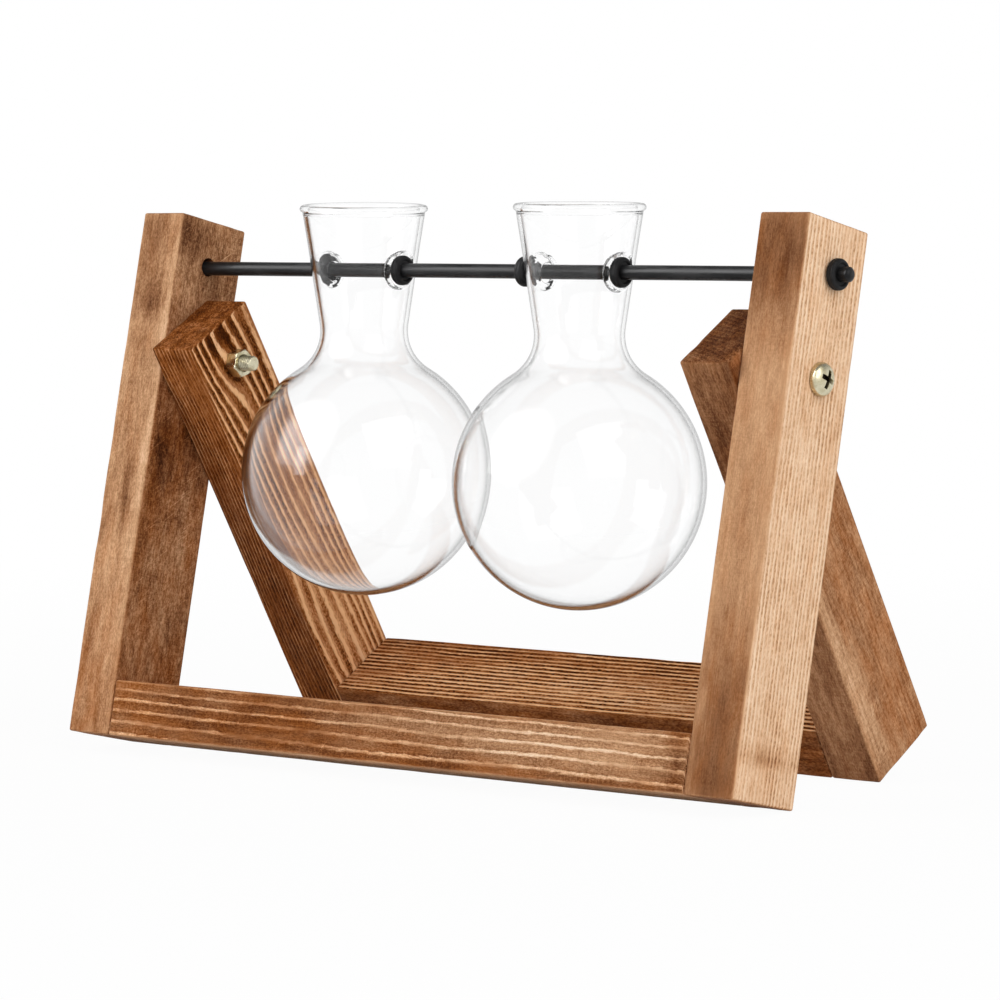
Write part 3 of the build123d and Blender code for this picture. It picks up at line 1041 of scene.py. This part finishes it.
def carved(points, faces, cutters):
    """A mesh with other closed meshes cut out of it."""
    blank = solid("blank", points, faces)
    tools = [solid("cutter", *c) for c in cutters]
    for tool in tools:
        cut = blank.modifiers.new("cut", "BOOLEAN")
        cut.operation, cut.solver, cut.object = "DIFFERENCE", "EXACT", tool
    bpy.context.view_layer.update()
    mesh = bpy.data.meshes.new_from_object(blank.evaluated_get(bpy.context.evaluated_depsgraph_get()))
    corners = np.array([tuple(v.co) for v in mesh.vertices])
    sides = [tuple(f.vertices) for f in mesh.polygons]
    for made in [blank, *tools]:
        bpy.data.objects.remove(made)
    return corners, sides


def make_bolt(side_name, side):
    """A pan-head bolt with a cross recess and a threaded tip, pointing inward."""
    node = "pivot_bolt_" + side_name

    def reach(name):
        low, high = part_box(name)
        return (low.x, high.x) if side > 0 else (-high.x, -low.x)

    low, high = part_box(node)
    pivot = joint_place("frame_fold")
    tip, crown = reach(node)
    face_x = reach("tall_leg_" + side_name)[1]
    thread_start = reach("short_leg_" + side_name)[0]
    head, shank = (high.z - low.z) / 2, bolt_radius
    dome_x = face_x + head_side
    rise = crown - dome_x
    profile = []
    for t in dome_turns:
        profile.append((dome_x + rise * math.cos(t) ** dome_power, head * math.sin(t) ** dome_power))
    profile += [(face_x + head_edge, head), (face_x, head - head_edge), (face_x, shank)]
    profile += [(x, shank) for x in np.linspace(face_x - head_edge, thread_start, shank_rows)]
    turns = round((thread_start - tip - tip_chamfer) / thread_pitch * thread_samples)
    profile += [(x, shank) for x in np.linspace(thread_start, tip + tip_chamfer, turns)[1:]]
    profile += [(tip + height, shank * share) for height, share in bolt_tip]

    def threaded(x, radius, around):
        if x > thread_start or radius < shank:
            return np.full(len(around), radius)
        phase = (x / thread_pitch + around / (2 * math.pi)) % 1.0
        return radius - thread_depth * abs(2 * phase - 1)

    points, faces = capped(profile, radius_at=threaded)
    cutters = []
    for length, width in ((recess_length, recess_width), (recess_width, recess_length)):
        bar, sides = tapered_bar(length, width, recess_depth, recess_draft_share)
        cutters.append((bar + np.array((crown, 0.0, 0.0)), sides))
    points, faces = carved(points, faces, cutters)
    far = np.hypot(points[:, 1], points[:, 2])
    domed = dome_x + rise * (1 - np.clip(far / head, 0, 1) ** (2 / dome_power)) ** (dome_power / 2)
    # painted shade: 1 inside the cross recess, less in the thread grooves
    sunk = (points[:, 0] > dome_x) & (points[:, 0] < domed - recess_shade_depth)
    grooved = np.clip((shank - far) / thread_depth, 0.0, 1.0) * (points[:, 0] < thread_start)
    grooved = np.where(points[:, 0] < tip + 2 * tip_chamfer, 0.0, grooved)
    hollow_shade = np.where(sunk, 1.0, groove_shade * grooved)
    points[:, 0] *= side
    points = turned(points, recess_turn * side) + np.array((0.0, pivot.y, pivot.z))
    made = piece(node + "_zinc", node, "front_frame", points, faces, zinc, bolt_crease)
    write_field(made, "hollow_shade", hollow_shade)


def make_nut(node):
    """A hexagon nut with chamfered corners and a countersunk bore."""
    low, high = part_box(node)
    pivot = joint_place("frame_fold")
    middle, half = (low.x + high.x) / 2, (high.x - low.x) / 2
    flat, bore = nut_flats / 2, bolt_radius
    corner = flat / math.cos(math.radians(30))

    def hexagon(x, radius, around):
        if radius <= bore + nut_sink:
            return np.full(len(around), radius)
        turn = (around + math.pi / 6) % (math.pi / 3) - math.pi / 6
        return np.minimum(flat / np.cos(turn), radius)

    profile = [(half - nut_sink, bore), (half, bore + nut_sink), (half, flat * nut_face_share)]
    profile += [(half - (corner - flat) * k * nut_cone, flat + (corner - flat) * k) for k in nut_cone_steps]
    profile += [(0.0, corner * nut_past_corner)]
    profile += [(-x, r) for x, r in reversed(profile[:-1])]
    points, faces, loops = lathe(profile, columns=nut_columns, radius_at=hexagon)
    faces += band(loops[-1], loops[0])
    points = turned(points, lean_of("tall_leg_left")) + np.array((middle, pivot.y, pivot.z))
    piece(node + "_zinc", node, "front_frame", points, faces, zinc, nut_crease)


# Camera, light and stage

def aimed(name, data, place, target):
    """An object at a place, looking at a target."""
    made = bpy.data.objects.new(name, data)
    made.location = place
    made.rotation_mode = "QUATERNION"
    made.rotation_quaternion = (Vector(target) - Vector(place)).to_track_quat("-Z", "Y")
    bpy.context.scene.collection.objects.link(made)
    return made


def make_camera():
    """A long lens at the photograph's place."""
    data = bpy.data.cameras.new("camera")
    data.lens = camera_lens
    data.sensor_width = camera_sensor
    bpy.context.scene.camera = aimed("camera", data, camera_place, camera_target)


def softbox(name, place, width, height, radiance):
    """A large flat lamp aimed at the middle of the object, as bright as its face looks."""
    data = bpy.data.lights.new(name, "AREA")
    data.shape = "RECTANGLE"
    data.size, data.size_y = width, height
    data.energy = radiance * math.pi * width * height
    aimed(name, data, place, (cad_box[0] + cad_box[1]) / 2)


def make_world():
    """Soft light from all round, and a white background.

    Mirrors show that background with a darker ceiling and a bright wall at the left front."""
    world = bpy.data.worlds.new("studio")
    bpy.context.scene.world = world
    world.use_nodes = True
    g = Nodes(world.node_tree)
    light = g.tree.nodes["Background"]
    g.put(light.inputs["Color"], world_colour)
    g.put(light.inputs["Strength"], world_level)
    way = g.add("ShaderNodeTexCoord").outputs["Generated"]
    height = g.add("ShaderNodeSeparateXYZ", {0: way}).outputs["Z"]
    wall = {0: way, 1: Vector(bright_wall_way).normalized()}
    toward = g.add("ShaderNodeVectorMath", wall, operation="DOT_PRODUCT").outputs["Value"]
    level = g.math("ADD", g.span(height, *ceiling_fade), g.span(toward, *bright_wall_fade))
    mirrored = g.add("ShaderNodeBackground", {"Color": grey(1.0), "Strength": level}).outputs[0]
    white = g.add("ShaderNodeBackground", {"Color": grey(1.0), "Strength": 1.0}).outputs[0]
    path = g.add("ShaderNodeLightPath").outputs
    straight = g.math("MAXIMUM", path["Is Camera Ray"], path["Is Transmission Ray"])
    around = g.cover(path["Is Glossy Ray"], light.outputs[0], mirrored)
    g.put(g.tree.nodes["World Output"].inputs["Surface"], g.cover(straight, around, white))


def make_floor():
    """A white floor that fades into the background and keeps a soft shadow."""
    bpy.ops.mesh.primitive_plane_add(size=floor_size)
    floor = bpy.context.object
    floor.name = "floor"
    g = Graph("floor_white")
    g.surface(Base_Color=floor_colour, Roughness=floor_roughness, Specular_IOR_Level=0.0)
    glow = g.add("ShaderNodeEmission", {"Color": grey(1.0), "Strength": 1.0}).outputs[0]
    far = g.add("ShaderNodeVectorMath", {0: g.place()}, operation="LENGTH").outputs["Value"]
    path = g.add("ShaderNodeLightPath").outputs
    seen = g.math("MAXIMUM", path["Is Camera Ray"], path["Is Glossy Ray"])
    seen = g.math("MAXIMUM", seen, path["Is Transmission Ray"])
    share = g.times(seen, g.span(far, *floor_glow_fade))
    g.put(g.output.inputs["Surface"], g.cover(share, g.shader.outputs[0], glow))
    floor.data.materials.append(g.material)


wood = wood_material()
make_boards()
glass = glass_material()
vase("vase_left", "left_vase", "left_vase_swing", left_rim_tilt)
vase("vase_right", "right_vase", "right_vase_swing", right_rim_tilt)
zinc = zinc_material()
black_steel = black_material("black_steel", steel_colours, steel_roughness, steel_grain)
rubber = black_material("black_rubber", rubber_colours, rubber_roughness, rubber_grain)
make_rod()
for ring_node in ("rod_end_ring_left", "rod_end_ring_right", "left_vase_ring_outer", "left_vase_ring_inner",
                  "right_vase_ring_inner", "right_vase_ring_outer"):
    make_ring(ring_node)
for bolt_side, bolt_sign in (("left", -1.0), ("right", 1.0)):
    make_bolt(bolt_side, bolt_sign)
    make_nut("pivot_nut_" + bolt_side)
dowel_wood = dowel_material()
for node_name, node_object in frame["nodes"].items():
    if "dowels" in node_name:
        node_object.data.materials.clear()
        node_object.data.materials.append(dowel_wood)

make_camera()
make_world()
make_floor()
for lamp in lamps:
    softbox(*lamp)

bpy.context.scene.view_settings.view_transform = "Standard"
